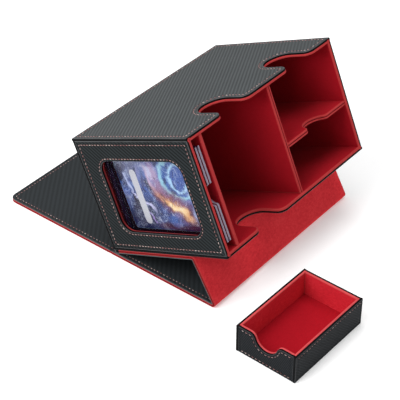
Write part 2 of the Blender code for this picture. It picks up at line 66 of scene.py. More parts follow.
# Box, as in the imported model
BOX_W = 175 * MM
BOX_D = 120 * MM
BOX_H = 96 * MM
WALL_T = 2.2 * MM
INSIDE = 3.8 * MM
SEAM_LAP = 0.1 * MM
RIM_START = 1.5 * MM
RIM_PROUD = 0.25 * MM
LINER_END = 1.4 * MM
LINER_ROUND = 0.9 * MM
BACK_LINER = 2.35 * MM
BACK_LINER_ROUND = 0.6 * MM
SLOT_DIVIDER = (13.5 * MM, 16.6 * MM)
CENTRE_DIVIDER = (92.7 * MM, 96.5 * MM)
DIVIDER_SETBACK = 0.8 * MM
LEAF_ROUND = 0.85 * MM
SHELF_Z = (40.4 * MM, 44.2 * MM)

# Notches: deep ones in the walls, and round ones as radius, centre behind edge, mouth radius
NOTCH_HALF = 13.2 * MM
NOTCH_DEPTH = 31.5 * MM
NOTCH_MOUTH_R = 6.5 * MM
SHELF_NOTCH = (11.0 * MM, 0.0, 4.0 * MM)
TRAY_NOTCH = (10.0 * MM, 0.8 * MM, 5.0 * MM)
THUMB_NOTCH = (8.0 * MM, 0.0, 1.0 * MM)

# Window: margins from the back, front, bottom and top of the box
WINDOW_BACK = 20.2 * MM
WINDOW_FRONT = 16.0 * MM
WINDOW_BOTTOM = 17.3 * MM
WINDOW_TOP = 18.7 * MM
WINDOW_R = 10.0 * MM
PANE_OVERLAP = 4.0 * MM
PANE_SHEET = (-2.9 * MM, -2.5 * MM, 0.1 * MM)
WINDOW_LINER_DEPTH = -4.2 * MM
WINDOW_LINER_BACK = 0.5 * MM

# Cover: leather on the +w side, suede on the -w side of each panel
COVER_W = 174 * MM
HALF_T = 1.6 * MM
LEATHER_LOW = 0.7 * MM
BRACE_FOLD_R = 1.7 * MM
FRONT_FOLD_R = HALF_T + GAP / 2
REAR_END_GAP = 1.6 * MM
FLAP_CORNER_R = 6.0 * MM
REAR_CORNER_R = 1.5 * MM
COVER_LEATHER_FOLD = 0.5 * MM
COVER_SUEDE_ROUND = 0.45 * MM
LAYER_GAP = 0.06 * MM
REAR_STRIP = (HALF_T - 0.03 * MM, 0.8 * MM)
REAR_STRIP_LAP = 3.0 * MM
CREASE_REACH = 4.0 * MM
CREASE_DEPTH = 0.55 * MM
CREASE_SPREAD = 1.3 * MM
CREASE_SKIN = 0.5 * MM
BEND_MARGIN = 3.0 * MM

# Tray
TRAY_H = 23.8 * MM
TRAY_TURN = math.radians(-1.44)
TRAY_L = 80.5 * MM
TRAY_W = 52.6 * MM
TRAY_LEATHER_T = 2.1 * MM
TRAY_LEATHER_FOLD = 0.5 * MM
TRAY_LINING_T = 1.4 * MM
TRAY_LINING_FOOT = 1.5 * MM
TRAY_LAP = 0.6 * MM
TRAY_LINING_ROUND = 0.8 * MM
TRAY_BASE_INSET = 1.5 * MM
TRAY_BASE = (0.0, 0.9 * MM, 0.2 * MM)
TRAY_FLOOR_INSET = 3 * MM
TRAY_FLOOR = (2.3 * MM, 3.4 * MM, 0.3 * MM)

# Stitches
STITCH_PITCH = 3.1 * MM
STITCH_LENGTH = 1.8 * MM
STITCH_INSET = 3.4 * MM
WINDOW_STITCH_INSET = 1.9 * MM
TRAY_STITCH_INSET = 2.2 * MM
STITCH_DIP = 0.22 * MM
WALL_THREAD = -0.12 * MM
TRAY_THREAD = -0.16 * MM
COVER_THREAD = HALF_T - 0.25 * MM
TRAY_THREAD_THICK = 0.55

# Sleeve and card: sheets measured from the end face of the box, and outlines as u, v, u, v
SLEEVE_HALF_H = 37.5 * MM
SLEEVE_LENGTH = 101 * MM
SLEEVE_SETBACK = 1.2 * MM
# Rims of the sleeve sheets nearer the mouth than this keep the pale, nearly opaque edge material.
SLEEVE_PALE_RIM_REACH = 12 * MM
SLEEVE_SHEETS = (("sleeve_outer_sheet", 6.3 * MM, 8.1 * MM, 0.25 * MM),
                 ("sleeve_inner_sheet", 9.1 * MM, 10.9 * MM, 0.25 * MM))
CARD = (-31.5 * MM, 4.8 * MM, 31.5 * MM, 92.8 * MM)
CARD_SHEET = (8.3 * MM, 8.9 * MM, 0.15 * MM)
CARD_R = 3 * MM
LABEL = (-18.5 * MM, 72.6 * MM, 27.0 * MM, 79.0 * MM)
LABEL_SHEET = (8.24 * MM, 8.4 * MM, 0.03 * MM)
LABEL_R = 3.1 * MM

# Steps of the round outlines and of the bends
MOUTH_STEPS = 8
NOTCH_STEPS = 22
CORNER_STEPS = 8
FOLD_STEPS = 10
CREASE_STEPS = 12

# Material slots of a sheet, and the edge angle that stays sharp
# On leather and suede the EDGE slot takes lighter rim finishes, which carry painted highlight, and
# the SEAM slot darker ones, painted shade in grooves and on the sides of folds.
FACE, EDGE, SEAM = 0, 1, 2
SHARP_ANGLE = math.radians(38)

# Camera, turned in degrees, and lights: name, place, target height, size and watts
LENS_MM = 117.768
CAMERA_AT = (-0.64413, -0.50239, 0.64909)
CAMERA_TURN = (52.772, 0.101, -51.429)
LIGHTS = (("key", (-1.1, 0.45, 1.05), 0.04, 1.5, 25.0),
          ("top_fill", (0.2, 0.1, 1.6), 0.05, 1.3, 13.0),
          ("front_fill", (-0.3, -1.3, 0.9), 0.05, 1.6, 2.8))
FLOOR_HALF = 6.0
FLOOR_DROP = 0.15 * MM
FLOOR_GLOW = 0.22
WORLD_GLOW = 0.42


# -------- frames

def axes(u, v):
    """Frame whose u and v point along these directions, with w square to both."""
    return Matrix((u, v, Vector(u).cross(v))).transposed().to_4x4()


def joint_at(name):
    """Point on a joint's axis."""
    return Vector(next(j["pos_m"] for j in frame["joints"] if j["name"] == name))


FRONT_AXIS = joint_at("stand_fold")
BRACE_AXIS = joint_at("rear_panel_fold")
REAR_AXIS = joint_at("box_tip")
CREASE = joint_at("flap_hinge")
MIDDLE_X = REAR_AXIS.x
TILT = math.atan2(BRACE_AXIS.z - REAR_AXIS.z, REAR_AXIS.y - BRACE_AXIS.y)
BOX = (Matrix.Translation(REAR_AXIS) @ Matrix.Rotation(-TILT, 4, "X")
       @ Matrix.Translation((0, HALF_T, HALF_T + GAP)))
TRAY_LOW, TRAY_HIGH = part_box("tray_base_skin")
TRAY = (Matrix.Translation(((TRAY_LOW.x + TRAY_HIGH.x) / 2, (TRAY_LOW.y + TRAY_HIGH.y) / 2, 0))
        @ Matrix.Rotation(TRAY_TURN, 4, "Z"))


def in_box(lie, x=0, y=0, z=0):
    """Frame that lies this way at a point of the box."""
    return BOX @ Matrix.Translation((x, y, z)) @ lie


UP = axes((1, 0, 0), (0, 1, 0))
DOWN = axes((-1, 0, 0), (0, 1, 0))
LEFT = axes((0, -1, 0), (0, 0, 1))
RIGHT = axes((0, 1, 0), (0, 0, 1))
BACK = axes((-1, 0, 0), (0, 0, 1))


# -------- outlines

def arc(centre, radius, start, end, steps):
    """Points along an arc, angles in degrees, both ends included."""
    angles = [math.radians(start + (end - start) * i / steps) for i in range(steps + 1)]
    return [(centre[0] + radius * math.cos(a), centre[1] + radius * math.sin(a)) for a in angles]


def deep_notch(centre_u):
    """U-shaped finger notch, as a function of the edge and the inset."""
    def draw(edge, inset):
        half = NOTCH_HALF + inset
        mouth = NOTCH_MOUTH_R - inset
        bottom = (centre_u, edge - inset + NOTCH_DEPTH - NOTCH_HALF)
        left = (centre_u - half - mouth, edge + mouth)
        right = (centre_u + half + mouth, edge + mouth)
        return (arc(left, mouth, -90, 0, MOUTH_STEPS)
                + arc(bottom, half, 180, 0, NOTCH_STEPS)
                + arc(right, mouth, 180, 270, MOUTH_STEPS))
    return draw


def round_notch(centre_u, sizes):
    """Shallow round notch with blended mouth corners, as a function of the edge and the inset."""
    def draw(edge, inset):
        radius, sink, mouth = sizes[0] + inset, sizes[1], sizes[2] - inset
        centre_v = edge - inset + sink
        rise = edge + mouth - centre_v
        run = math.sqrt((radius + mouth) ** 2 - rise ** 2)
        lean = math.degrees(math.atan2(rise, run))
        return (arc((centre_u - run, edge + mouth), mouth, -90, -lean, MOUTH_STEPS)
                + arc((centre_u, centre_v), radius, 180 - lean, lean, NOTCH_STEPS)
                + arc((centre_u + run, edge + mouth), mouth, 180 + lean, 270, MOUTH_STEPS))
    return draw


def panel(u0, v0, u1, v1, *notches):
    """Rectangle with notches in its low-v edge, as a function of the inset."""
    def draw(inset):
        edge = v0 + inset
        points = [(u0 + inset, edge)]
        for notch in notches:
            points += notch(edge, inset)
        return points + [(u1 - inset, edge), (u1 - inset, v1 - inset), (u0 + inset, v1 - inset)]
    return draw


def rounded(u0, v0, u1, v1, low_r, high_r):
    """Rectangle with round corners, as a function of the inset."""
    def draw(inset):
        corners = ((u0, v0, 1, 1, low_r, 180), (u1, v0, -1, 1, low_r, 270),
                   (u1, v1, -1, -1, high_r, 0), (u0, v1, 1, -1, high_r, 90))
        points = []
        for u, v, side_u, side_v, r, start in corners:
            centre = (u + side_u * r, v + side_v * r)
            points += arc(centre, r - inset, start, start + 90, CORNER_STEPS)
        return points
    return draw


def front_edge(outline, notches, inset):
    """The low-v edge of a panel with this many notches, as an open path."""
    return outline(inset)[:notches * (2 * MOUTH_STEPS + NOTCH_STEPS + 3) + 2]


# -------- sheets

def leather_profile(low, high, stitch, fold=0.65 * MM, thin=False):
    """Rim of a turned-edge leather panel: round fold, raised border, dip under the stitches."""
    # The underside and the side of the fold take the near-black finish, painted shade, except on
    # thin leather, and the upper fold the lighter finish, painted highlight.
    side = EDGE if thin else SEAM
    points = [(1.6 * MM, low, side), (0.3 * MM, low, side), (0.08 * MM, low + 0.1 * MM, side)]
    if not thin:
        points.append((0.0, low + 0.3 * MM, side))
    for angle, finish in ((0, side), (22, EDGE), (45, EDGE), (67, EDGE)):
        a = math.radians(angle)
        points.append((fold * (1 - math.cos(a)), high - fold + fold * math.sin(a), finish))
    near = max(fold + 0.2 * MM, stitch - 1.1 * MM)
    points += [(fold, high, FACE), (near, high, FACE)]
    # Millimetres past the stitches, and depth
    groove = ((-0.4, STITCH_DIP), (0.4, STITCH_DIP), (1.0, 0.02 * MM), (1.8, 0.02 * MM))
    return points + [(stitch + u * MM, high - dip, FACE) for u, dip in groove]


def plain_profile(low, high, radius, low_finish=EDGE, high_finish=EDGE):
    """Rim with the same round on both edges, and a finish for the foot of each round."""
    flat = radius + 0.8 * MM
    points = [(flat, low, FACE)]
    lower = ((-90, low_finish), (-60, low_finish), (-30, EDGE), (0, EDGE))
    upper = ((0, EDGE), (30, high_finish), (60, high_finish), (90, FACE))
    for centre, turns in ((low + radius, lower), (high - radius, upper)):
        for angle, finish in turns:
            a = math.radians(angle)
            points.append((radius * (1 - math.cos(a)), centre + radius * math.sin(a), finish))
    return points + [(flat, high, FACE)]


def doubled_profile(low, high, radius):
    """Rim where two folded edges meet: a groove runs along the middle."""
    middle = (low + high) / 2
    slope, depth = 0.6 * MM, 0.9 * MM
    points = plain_profile(low, high, radius)
    half = len(points) // 2
    # The groove between the two rims takes the darker finish: painted shade.
    groove = [(0.0, middle - slope, SEAM), (depth, middle, SEAM), (0.0, middle + slope, EDGE)]
    return points[:half] + groove + points[half:]


def sheet_shape(loops, profile):
    """Closed sheet: the loops carried round a rim profile, and flat faces across them.

    profile holds (inset, height, material) from the underside to the top."""
    shape = bmesh.new()
    rings = []
    for inset, height, _ in profile:
        rings.append([[shape.verts.new((u, v, height)) for u, v in loop(inset)] for loop in loops])
    for lower, upper, (_, _, finish) in zip(rings, rings[1:], profile):
        for a, b in zip(lower, upper):
            for i, corner in enumerate(a):
                j = (i + 1) % len(a)
                shape.faces.new((corner, a[j], b[j], b[i])).material_index = finish
    for end in (0, -1):
        ring, finish = rings[end], profile[end][2]
        corners = [vert for loop in ring for vert in loop]
        for triangle in tessellate_polygon([[vert.co for vert in loop] for loop in ring]):
            shape.faces.new([corners[i] for i in triangle]).material_index = finish
    bmesh.ops.recalc_face_normals(shape, faces=shape.faces)
    return shape


def loft(shape, rings):
    """Faces from ring to ring, and a cap at each end."""
    for a, b in zip(rings, rings[1:]):
        for i in range(len(a)):
            j = (i + 1) % len(a)
            shape.faces.new((a[i], a[j], b[j], b[i]))
    shape.faces.new(rings[0])
    shape.faces.new(rings[-1])


def proud(outline):
    """The same outline a little larger, for a rim that stands out beside another."""
    return lambda inset: outline(inset - RIM_PROUD)


def hole(outline):
    """The same outline drawn as a hole: an inset of the sheet makes the hole larger."""
    return lambda inset: outline(-inset)


def add_piece(name, shape, finishes, place=Matrix.Identity(4)):
    """Object from a bmesh, with these materials in its slots."""
    mesh = bpy.data.meshes.new(name)
    shape.to_mesh(mesh)
    shape.free()
    for finish in finishes:
        mesh.materials.append(finish)
    mesh.shade_smooth()
    mesh.set_sharp_from_angle(angle=SHARP_ANGLE)
    made = bpy.data.objects.new(name, mesh)
    bpy.context.scene.collection.objects.link(made)
    made.matrix_world = place
    return made


def dress(name, shape, finishes, place, body, slot, *nodes):
    """A piece that rides on one body and stands for these CAD nodes."""
    made = add_piece(name, shape, finishes, place)
    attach(made, body)
    if nodes:
        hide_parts(*nodes)


# -------- stitches

def along(path, closed):
    """Function for the point and direction at a distance along a path, and its length."""
    points = [Vector(p) for p in path]
    if closed:
        points.append(points[0])
    marks = [0.0]
    for a, b in zip(points, points[1:]):
        marks.append(marks[-1] + (b - a).length)
    total = marks[-1]

    def at(distance):
        distance = distance % total if closed else min(max(distance, 0.0), total)
        i = 0
        while i < len(marks) - 2 and marks[i + 1] < distance:
            i += 1
        span = marks[i + 1] - marks[i]
        share = (distance - marks[i]) / span if span > 0 else 0.0
        heading = (points[i + 1] - points[i]).normalized()
        return points[i].lerp(points[i + 1], share), heading
    return at, total


def sew(shape, path, closed, surface, lay=None, thick=1.0):
    """Adds a row of raised thread stitches that follow a path at this height."""
    sides, stations = 6, 5
    half_w, half_h, rise, sink, slant = 0.27 * MM * thick, 0.24 * MM, 0.16 * MM, 0.14 * MM, 0.2 * MM
    at, total = along(path, closed)
    count = max(1, round(total / STITCH_PITCH))
    for i in range(count):
        middle = (i + 0.5) * total / count
        rings = []
        for k in range(stations):
            t = k / (stations - 1)
            bow = 1 - (2 * t - 1) ** 2
            point, heading = at(middle + (t - 0.5) * STITCH_LENGTH)
            side = Vector((heading.y, -heading.x))
            point = point + side * slant * (t - 0.5)
            grow = 0.45 + 0.55 * math.sqrt(bow)
            ring = []
            for c in range(sides):
                a = math.tau * c / sides
                p = point + side * half_w * grow * math.cos(a)
                w = surface - sink + (rise + sink) * bow + half_h * grow * math.sin(a)
                spot = (p.x, p.y, w)
                ring.append(shape.verts.new(lay(*spot) if lay else spot))
            rings.append(ring)
        loft(shape, rings)


def stitch_rows(name, rows, surface, place, body, thick=1.0):
    """One piece for all the rows of stitches on a face; a row is (path, closed)."""
    shape = bmesh.new()
    for path, closed in rows:
        sew(shape, path, closed, surface, thick=thick)
    bmesh.ops.recalc_face_normals(shape, faces=shape.faces)
    dress(name, shape, [THREAD], place, body, "suede")


# -------- materials

class Shader:
    """A Principled material and short ways to add nodes to it."""

    def __init__(self, name):
        self.material = bpy.data.materials.new(name)
        self.material.use_nodes = True
        self.tree = self.material.node_tree
        self.surface = self.tree.nodes["Principled BSDF"]
        self.place = self.add("ShaderNodeTexCoord").outputs["Object"]

    def add(self, kind, **settings):
        """A new node with these settings."""
        node = self.tree.nodes.new(kind)
        for key, value in settings.items():
            setattr(node, key, value)
        return node

    def join(self, value, socket):
        """Links an output to a socket, or sets the socket to a plain value."""
        if hasattr(value, "links"):
            self.tree.links.new(value, socket)
        else:
            socket.default_value = value

    def set(self, **values):
        """Inputs of the Principled shader, with _ for a space."""
        for key, value in values.items():
            self.join(value, self.surface.inputs[key.replace("_", " ")])

    def sum(self, a, b, operation="ADD"):
        """The two values added, or put through another operation."""
        node = self.add("ShaderNodeMath", operation=operation)
        self.join(a, node.inputs[0])
        self.join(b, node.inputs[1])
        return node.outputs[0]

    def noise(self, scale, detail=3.0, roughness=0.55, stretch=(1, 1, 1), distortion=0.0):
        """0 to 1 noise, with this many features per metre."""
        mapping = self.add("ShaderNodeMapping")
        self.join(self.place, mapping.inputs["Vector"])
        mapping.inputs["Scale"].default_value = stretch
        node = self.add("ShaderNodeTexNoise")
        self.join(mapping.outputs[0], node.inputs["Vector"])
        for key, value in (("Scale", scale), ("Detail", detail), ("Roughness", roughness),
                           ("Distortion", distortion)):
            node.inputs[key].default_value = value
        return node.outputs["Fac"]

    def waves(self, direction, pitch, wobble=0.0):
        """0 to 1 across straight ribs: direction is across them, pitch is their spacing."""
        size = math.tau / pitch / Vector(direction).length
        across = self.compare("DOT_PRODUCT", [size * d for d in direction])
        sine = self.sum(self.sum(across, wobble), 0.0, "SINE")
        return self.sum(self.sum(sine, 0.5, "MULTIPLY"), 0.5)

    def ramp(self, factor, *stops):
        """Colour ramp; stops are (position, (r, g, b))."""
        node = self.add("ShaderNodeValToRGB")
        self.join(factor, node.inputs["Fac"])
        ramp = node.color_ramp
        while len(ramp.elements) < len(stops):
            ramp.elements.new(0.5)
        for element, (position, colour) in zip(ramp.elements, stops):
            element.position = position
            element.color = (*colour, 1.0)
        return node.outputs["Color"]

    def mix(self, factor, a, b):
        """Colour between a and b."""
        node = self.add("ShaderNodeMix", data_type="RGBA")
        self.join(factor, node.inputs[0])
        for value, socket in ((a, node.inputs[6]), (b, node.inputs[7])):
            self.join(value if hasattr(value, "links") else (*value, 1.0), socket)
        return node.outputs[2]

    def remap(self, value, low, high, from_low=0.0, from_high=1.0):
        """A value carried to the range from low to high."""
        node = self.add("ShaderNodeMapRange")
        self.join(value, node.inputs["Value"])
        for socket, limit in zip(node.inputs[1:5], (from_low, from_high, low, high)):
            socket.default_value = limit
        return node.outputs["Result"]

    def compare(self, operation, other):
        """The place's distance from a point, or its dot product with a direction."""
        node = self.add("ShaderNodeVectorMath", operation=operation)
        self.join(self.place, node.inputs[0])
        node.inputs[1].default_value = other
        return node.outputs["Value"]

    def fade(self, off, width):
        """1 near zero, falling to 0 at this width off it."""
        return self.remap(self.sum(off, 0.0, "ABSOLUTE"), 1.0, 0.0, 0.2 * width, width)

    def spot(self, centre, near, far):
        """1 within the near distance of a point, falling to 0 at the far one."""
        return self.remap(self.compare("DISTANCE", centre), 1.0, 0.0, near, far)

    def ring(self, centre, radius, width):
        """1 on a circle round a point, falling to 0 at this width off it."""
        return self.fade(self.sum(self.compare("DISTANCE", centre), -radius), width)

    def measure(self, direction, start):
        """Distance from a start point along a direction."""
        return self.sum(self.compare("DOT_PRODUCT", direction), -Vector(direction).dot(start))

    def band(self, a, b, width):
        """1 along the line from a to b, falling to 0 at this width off it and at its ends."""
        run = Vector(b) - Vector(a)
        heading = run.normalized()
        beside = self.fade(self.measure((-heading.y, heading.x, 0), a), width)
        reach = self.measure(heading, a)
        rise = self.remap(reach, 0.0, 1.0, 0.0, 0.2 * run.length)
        fall = self.remap(reach, 1.0, 0.0, 0.75 * run.length, run.length)
        return self.sum(self.sum(rise, fall, "MULTIPLY"), beside, "MULTIPLY")

    def warp(self, scale, amount):
        """Bends every later pattern by a noise of this scale and amount."""
        noise = self.add("ShaderNodeTexNoise")
        self.join(self.place, noise.inputs["Vector"])
        noise.inputs["Scale"].default_value = scale
        noise.inputs["Detail"].default_value = 4.0
        push = self.add("ShaderNodeVectorMath", operation="MULTIPLY_ADD")
        self.join(noise.outputs["Color"], push.inputs[0])
        push.inputs[1].default_value = (amount, amount, 0.0)
        self.join(self.place, push.inputs[2])
        centre = self.add("ShaderNodeVectorMath", operation="SUBTRACT")
        self.join(push.outputs[0], centre.inputs[0])
        centre.inputs[1].default_value = (amount / 2, amount / 2, 0.0)
        self.place = centre.outputs[0]

    def bump(self, height, depth, strength=1.0, under=None):
        """Bumped normal, over another one if there is one under it."""
        node = self.add("ShaderNodeBump")
        node.inputs["Strength"].default_value = strength
        node.inputs["Distance"].default_value = depth
        self.join(height, node.inputs["Height"])
        if under is not None:
            self.join(under, node.inputs["Normal"])
        return node.outputs["Normal"]


def ribbed_leather(name, direction, pitch, dark, light, gloss, height=0.15 * MM):
    """Carbon-look leather: raised ribs across a direction, fine grain and slow tone changes; the
    ribs' crests are painted lighter and their valleys darker, painted sheen and painted shade.
    """
    shader = Shader(name)
    wobble = shader.remap(shader.noise(40, 2.0), -0.5, 0.5)
    ribs = shader.waves(direction, pitch, wobble)
    grain = shader.noise(1500, 4.0, 0.6)
    cloud = shader.noise(30, 3.0)
    shade = shader.sum(ribs, shader.remap(grain, -0.35, 0.35))
    shade = shader.sum(shade, shader.remap(cloud, -0.3, 0.3))
    # The colour follows the ribs: painted sheen on their crests and painted shade in their valleys,
    # with the grain and slow tone changes on top.
    colour = shader.ramp(shade, (0.15, dark), (0.85, light))
    relief = shader.bump(ribs, height)
    relief = shader.bump(grain, 0.05 * MM, 0.35, relief)
    shader.set(Base_Color=colour, Normal=relief, Roughness=shader.remap(grain, 0.42, 0.62),
               Specular_IOR_Level=gloss)
    return shader.material


def edge_leather(name, dark, light, rough, gloss):
    """The same leather turned over an edge: stretched smooth, without ribs."""
    shader = Shader(name)
    grain = shader.noise(900, 4.0, 0.6)
    # Random mottle between the material's two colours; the turned-edge colours are lighter than the
    # faces, painted highlight, and the seam colours near black, painted shade.
    tone_mottle = shader.noise(120, 3.0)
    colour = shader.ramp(tone_mottle, (0.3, dark), (0.8, light))
    relief = shader.bump(grain, 0.05 * MM, 0.4)
    shader.set(Base_Color=colour, Normal=relief, Roughness=shader.remap(grain, rough, rough + 0.12),
               Specular_IOR_Level=gloss)
    return shader.material


def suede(name, dark, middle, light, mottle):
    """Brushed suede: short nap, darker strokes as strong as mottle, and a faint sheen."""
    shader = Shader(name)
    nap = shader.noise(2400, 4.0, 0.7)
    strokes = shader.noise(420, 4.0, 0.65, (1.0, 1.8, 1.4), 0.5)
    cloud = shader.noise(40, 3.0, 0.6)
    shade = shader.sum(shader.remap(strokes, 0.5 - mottle, 0.5 + mottle),
                       shader.remap(nap, -0.5 * mottle, 0.5 * mottle))
    shade = shader.sum(shade, shader.remap(cloud, -0.6 * mottle, 0.6 * mottle))
    colour = shader.ramp(shade, (0.15, dark), (0.5, middle), (0.85, light))
    relief = shader.bump(strokes, 0.12 * MM, 0.4)
    relief = shader.bump(nap, 0.12 * MM, 0.8, relief)
    shader.set(Base_Color=colour, Normal=relief, Roughness=shader.remap(nap, 0.88, 1.0),
               Specular_IOR_Level=0.08, Sheen_Weight=0.12, Sheen_Roughness=0.5,
               Sheen_Tint=(1, 0.15, 0.15, 1))
    return shader.material


def thread():
    """Twisted thread between dull red and pale pink."""
    shader = Shader("stitch_thread")
    tone = shader.noise(260, 2.0)
    twist = shader.waves((1, 1, 0.6), 0.45 * MM)
    colour = shader.ramp(tone, (0.3, (0.14, 0.028, 0.028)), (0.48, (0.32, 0.13, 0.12)),
                         (0.66, (0.60, 0.47, 0.43)))
    shader.set(Base_Color=colour, Normal=shader.bump(twist, 0.08 * MM, 0.6), Roughness=0.5,
               Specular_IOR_Level=0.5, Sheen_Weight=0.2)
    return shader.material


def fibre_board(name, colour):
    """Pressed grey-brown board with flecks."""
    shader = Shader(name)
    flecks = shader.noise(900, 5.0, 0.7, (1, 3, 1))
    darker = tuple(c * 0.6 for c in colour)
    tint = shader.ramp(flecks, (0.3, darker), (0.7, colour))
    shader.set(Base_Color=tint, Normal=shader.bump(flecks, 0.1 * MM, 0.5),
               Roughness=shader.remap(flecks, 0.8, 0.95))
    return shader.material


def magnet_plate():
    """Brushed nickel plating."""
    shader = Shader("magnet_plate")
    brushed = shader.noise(400, 3.0, 0.6, (1, 12, 1))
    shader.set(Base_Color=shader.ramp(brushed, (0.3, (0.42, 0.43, 0.45)), (0.7, (0.6, 0.61, 0.63))),
               Metallic=1.0, Roughness=shader.remap(brushed, 0.22, 0.4))
    return shader.material


def clear_sheet(name, alpha, rough, colour):
    """Clear rigid plastic with faint scuffs."""
    shader = Shader(name)
    scuffs = shader.noise(300, 4.0, 0.7, (1, 6, 1))
    shader.set(Base_Color=shader.ramp(scuffs, (0.4, tuple(c * 0.9 for c in colour)), (0.7, colour)),
               Alpha=alpha, Roughness=shader.remap(scuffs, rough, rough + 0.12),
               Specular_IOR_Level=0.5)
    return shader.material


def card_art():
    """Abstract storm in blue, violet and peach, with a painted glossy highlight near the top rear
    corner; u runs down the card and v away from its mouth.
    """
    shader = Shader("card_art")

    def at(u, v):
        """Point on the card's face, in millimetres."""
        return (u * MM, v * MM, CARD_SHEET[0])

    shader.warp(42, 0.02)
    shader.warp(150, 0.007)
    swirl = shader.noise(48, 3.0, 0.55, (1, 1, 1), 0.8)
    fine = shader.noise(130, 3.0, 0.6, (0.7, 1.5, 1), 1.5)
    art = shader.ramp(swirl, (0.34, (0.006, 0.008, 0.05)), (0.44, (0.02, 0.05, 0.22)),
                      (0.52, (0.06, 0.14, 0.40)), (0.60, (0.20, 0.24, 0.52)),
                      (0.70, (0.55, 0.60, 0.78)))
    orb = at(-11, 31)

    def band(u0, v0, u1, v1, width):
        return shader.band(at(u0, v0), at(u1, v1), width * MM)

    patches = (
        # The first patch, a pale haze near the top rear corner, is a painted glossy highlight.
        (shader.spot(at(-24, 76), 4 * MM, 22 * MM), 0.7, (0.26, 0.27, 0.40)),
        (shader.spot(at(24, 80), 10 * MM, 30 * MM), 0.85, (0.008, 0.008, 0.055)),
        (shader.spot(orb, 19 * MM, 25 * MM), 0.6, (0.06, 0.17, 0.42)),
        (shader.ring(orb, 17.5 * MM, 2.5 * MM), 0.85, (0.34, 0.62, 0.72)),
        (shader.spot(orb, 12 * MM, 15 * MM), 0.75, (0.04, 0.10, 0.36)),
        (shader.ring(orb, 11.5 * MM, 2.0 * MM), 0.9, (0.45, 0.66, 0.84)),
        (band(-28, 57, 6, 50, 5), 0.7, (0.42, 0.28, 0.44)),
        (band(-20, 63, 10, 52, 3), 0.8, (0.58, 0.44, 0.56)),
        (band(-4, 62, 28, 20, 11), 0.85, (0.30, 0.08, 0.09)),
        (band(0, 58, 27, 23, 5), 0.95, (0.72, 0.42, 0.20)),
        (band(6, 52, 20, 32, 3), 0.95, (0.85, 0.70, 0.44)),
        (band(16, 26, 30, 8, 7), 0.8, (0.34, 0.40, 0.62)),
        (band(31, 70, 29, 12, 5), 0.85, (0.09, 0.006, 0.03)),
        (band(-18, 88, 2, 82, 2.0), 0.95, (0.46, 0.52, 0.74)),
        (band(-2, 84, 17, 66, 1.8), 0.95, (0.60, 0.60, 0.82)),
        (band(12, 80, 29, 66, 1.6), 0.9, (0.42, 0.30, 0.66)),
    )
    for mask, strength, colour in patches:
        art = shader.mix(shader.sum(mask, strength, "MULTIPLY"), art, colour)
    lines = shader.ramp(fine, (0.56, (0, 0, 0)), (0.61, (1, 1, 1)), (0.66, (0, 0, 0)))
    art = shader.mix(shader.sum(lines, 0.45, "MULTIPLY"), art, (0.62, 0.70, 0.84))
    shade = shader.ramp(fine, (0.36, (1, 1, 1)), (0.43, (0, 0, 0)))
    art = shader.mix(shader.sum(shade, 0.6, "MULTIPLY"), art, (0.01, 0.008, 0.06))
    ink = shader.add("ShaderNodeGamma")
    shader.join(art, ink.inputs["Color"])
    ink.inputs["Gamma"].default_value = 1.22
    shader.set(Base_Color=ink.outputs["Color"], Roughness=shader.remap(swirl, 0.25, 0.4),
               Specular_IOR_Level=0.4)
    return shader.material


def card_label():
    """Blank printed label on the card."""
    shader = Shader("card_label")
    grain = shader.noise(1200, 3.0)
    paper = shader.ramp(grain, (0.3, (0.42, 0.43, 0.48)), (0.7, (0.52, 0.53, 0.58)))
    shader.set(Base_Color=paper, Roughness=0.35)
    return shader.material


def slanted(turn):
    """Direction across ribs that run to the right and back, turned this far from the x axis."""
    return (-math.sin(math.radians(turn)), math.cos(math.radians(turn)), 0)


# The top and the sides are one leather: the top's lighter colours are painted light, the sides'
# darker colours painted shade.
TOP_LEATHER_LIT = ribbed_leather("leather_ribbed_top_lit", slanted(32), 2.85 * MM,
                             (0.02, 0.024, 0.026), (0.046, 0.053, 0.056), 0.25)
SIDE_LEATHER_SHADED = ribbed_leather("leather_ribbed_side_shaded", (1, 1, 0), 2.75 * MM,
                              (0.006, 0.007, 0.0075), (0.02, 0.025, 0.027), 0.03, 0.1 * MM)
COVER_ACROSS = slanted(37)
COVER_RIB_RISE = 0.577
COVER_LEATHER = ribbed_leather("leather_ribbed_cover",
                               (*COVER_ACROSS[:2], COVER_RIB_RISE * COVER_ACROSS[1]), 3.3 * MM,
                               (0.02, 0.023, 0.025), (0.026, 0.03, 0.033), 0.1, 0.06 * MM)
TRAY_LEATHER = ribbed_leather("leather_ribbed_tray", (1, 1, 0), 1.8 * MM,
                              (0.006, 0.007, 0.008), (0.013, 0.015, 0.018), 0.05)
# Turned-edge leathers, lighter than their faces: painted highlight along the rounded folds.
EDGE_LEATHER = edge_leather("leather_turned_edge", (0.018, 0.019, 0.021), (0.055, 0.058, 0.062),
                            0.32, 0.5)
TRAY_EDGE = edge_leather("leather_tray_edge", (0.006, 0.007, 0.008), (0.02, 0.022, 0.025),
                         0.4, 0.25)
# Near-black leather on the undersides and the sides of the folds, where panels meet: painted shade.
SHADE_LEATHER = edge_leather("leather_painted_shade", (0.001, 0.001, 0.0015), (0.004, 0.005, 0.006),
                            0.6, 0.06)
# Suede inside the box and on the tray floor: a darker copy of the cover's and tray walls' suede,
# painted shade.
SUEDE = suede("suede_lining", (0.21, 0.002, 0.006), (0.32, 0.004, 0.011), (0.42, 0.009, 0.018),
              0.18)
# Lighter, pinker suede on the rounded rims: partly the nap pressed over the fold, partly painted
# light where the rims catch the lamps.
SUEDE_RIM = suede("suede_turned_rim", (0.29, 0.018, 0.02), (0.40, 0.035, 0.036),
                  (0.48, 0.06, 0.056), 0.2)
